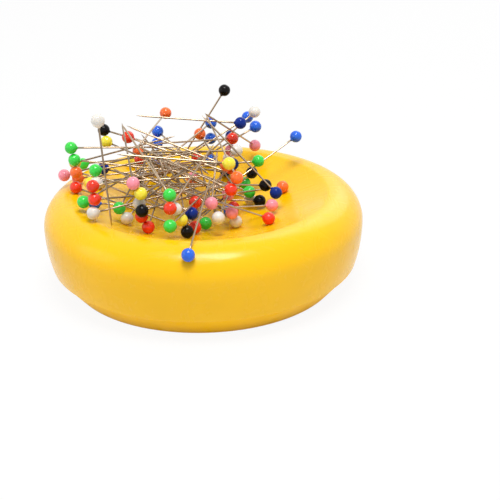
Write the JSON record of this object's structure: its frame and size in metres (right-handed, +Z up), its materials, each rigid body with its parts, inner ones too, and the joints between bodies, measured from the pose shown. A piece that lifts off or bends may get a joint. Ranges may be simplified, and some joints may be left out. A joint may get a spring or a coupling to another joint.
{
  "type": "magnetic pin bowl",
  "caption": "Round magnetic bowl for sewing pins: a moulded shell with a shallow dish, a hidden ring magnet, and a heap of ball-head pins that lift or pull out.",
  "frame": {"origin": "middle of the round footprint, on the surface that the feet stand on", "axes": "+Z up; -Y is the front, the side that the picture shows; +X is the viewer's right"},
  "size_m": [0.108, 0.108, 0.069],
  "materials": {
    "bowl_yellow": "glossy moulded plastic, warm yellow",
    "cover_yellow": "moulded plastic, satin, same yellow",
    "ferrite": "sintered ferrite, matt dark grey",
    "plated_steel": "zinc plated",
    "screw_steel": "zinc plated",
    "foot_rubber": "soft matt rubber",
    "pin_steel": "bright nickel plated steel wire",
    "head_red": "glossy moulded ball head",
    "head_white": "glossy moulded ball head",
    "head_green": "glossy moulded ball head",
    "head_blue": "glossy moulded ball head",
    "head_black": "glossy moulded ball head",
    "head_pink": "glossy moulded ball head",
    "head_yellow": "glossy moulded ball head",
    "head_orange": "glossy moulded ball head",
    "head_navy": "glossy moulded ball head"
  },
  "bodies": {
    "bowl": {"bowl_shell": "bowl_yellow", "base_cover": "cover_yellow", "ring_magnet": "ferrite", "keeper_plate": "plated_steel", "cover_screws": "screw_steel", "rubber_feet": "foot_rubber", "pin_heads_red": "head_red", "pin_heads_white": "head_white", "pin_heads_green": "head_green", "pin_heads_blue": "head_blue", "pin_heads_black": "head_black", "pin_heads_pink": "head_pink", "pin_heads_yellow": "head_yellow", "pin_heads_orange": "head_orange", "pin_heads_navy": "head_navy", "pin_shafts": "pin_steel"},
    "white_pin_upright": {"white_pin_upright_head": "head_white", "white_pin_upright_shaft": "pin_steel"},
    "black_pin_top": {"black_pin_top_head": "head_black", "black_pin_top_shaft": "pin_steel"},
    "pink_pin_left": {"pink_pin_left_head": "head_pink", "pink_pin_left_shaft": "pin_steel"},
    "yellow_pin_left": {"yellow_pin_left_head": "head_yellow", "yellow_pin_left_shaft": "pin_steel"},
    "green_pin_left": {"green_pin_left_head": "head_green", "green_pin_left_shaft": "pin_steel"},
    "yellow_pin_front": {"yellow_pin_front_head": "head_yellow", "yellow_pin_front_shaft": "pin_steel"},
    "navy_pin_back": {"navy_pin_back_head": "head_navy", "navy_pin_back_shaft": "pin_steel"},
    "navy_pin_right": {"navy_pin_right_head": "head_navy", "navy_pin_right_shaft": "pin_steel"}
  },
  "joints": [
    {"name": "white_pin_upright_pull", "type": "slide", "parent": "bowl", "child": "white_pin_upright", "axis": [-0.056, -0.0668, 0.9962], "range_m": [0, 0.04]},
    {"name": "black_pin_top_pull", "type": "slide", "parent": "bowl", "child": "black_pin_top", "axis": [0.5507, 0.0971, 0.829], "range_m": [0, 0.04]},
    {"name": "pink_pin_left_pull", "type": "slide", "parent": "bowl", "child": "pink_pin_left", "axis": [-0.9703, 0, -0.2419], "range_m": [0, 0.04]},
    {"name": "yellow_pin_left_pull", "type": "slide", "parent": "bowl", "child": "yellow_pin_left", "axis": [-0.9728, -0.1022, -0.2079], "range_m": [0, 0.04]},
    {"name": "green_pin_left_pull", "type": "slide", "parent": "bowl", "child": "green_pin_left", "axis": [-0.9932, 0.052, -0.1045], "range_m": [0, 0.04]},
    {"name": "yellow_pin_front_lift", "type": "slide", "parent": "bowl", "child": "yellow_pin_front", "axis": [0, 0, 1], "range_m": [0, 0.05]},
    {"name": "navy_pin_back_lift", "type": "slide", "parent": "bowl", "child": "navy_pin_back", "axis": [0, 0, 1], "range_m": [0, 0.05]},
    {"name": "navy_pin_right_lift", "type": "slide", "parent": "bowl", "child": "navy_pin_right", "axis": [0, 0, 1], "range_m": [0, 0.05]}
  ]
}
